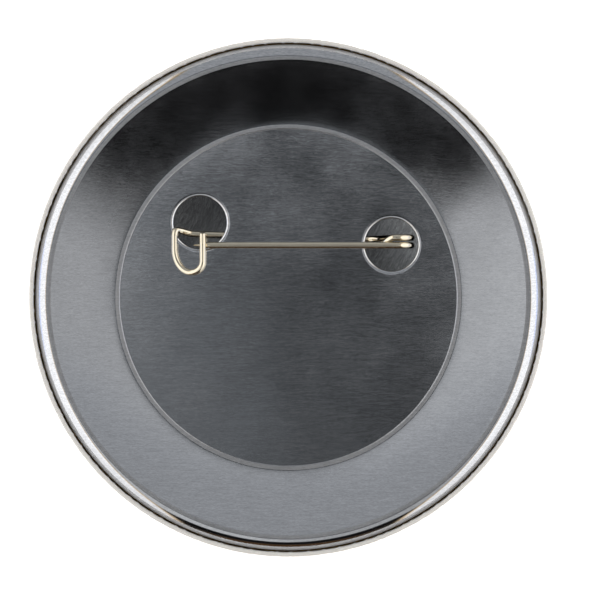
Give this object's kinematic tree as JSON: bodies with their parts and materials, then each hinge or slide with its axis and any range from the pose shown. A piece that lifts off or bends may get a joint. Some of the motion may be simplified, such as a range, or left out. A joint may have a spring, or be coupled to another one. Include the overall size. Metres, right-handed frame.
{
  "type": "button badge",
  "caption": "Round pin-back button badge: domed shell wrapped in paper and film, round-rimmed back plate, and a sprung wire pin held in its own hook.",
  "frame": {"origin": "centre of the face, where the badge rests on its flat middle", "axes": "+Z out of the back, +X along the pin from its point to its coil, +Y away from the badge's centre towards the pin's side"},
  "size_m": [0.075, 0.075, 0.0076],
  "materials": {
    "tinplate_shell": "satin rolled tinplate",
    "printed_paper": "plain white coated paper",
    "clear_film": "glossy clear polyester film",
    "tinplate_back": "bright rolled tinplate",
    "spring_wire": "bright nickel plating"
  },
  "bodies": {
    "badge": {"front_shell": "tinplate_shell", "print_disc": "printed_paper", "film_cover": "clear_film", "back_plate": "tinplate_back", "catch_wire": "spring_wire"},
    "arm": {"pin_arm": "spring_wire"}
  },
  "joints": [
    {"name": "arm_hinge", "type": "hinge", "parent": "badge", "child": "arm", "pos_m": [0.0124, 0.00752, 0.00577], "axis": [0.9135, 0, -0.4067], "range_deg": [0, 170]}
  ]
}
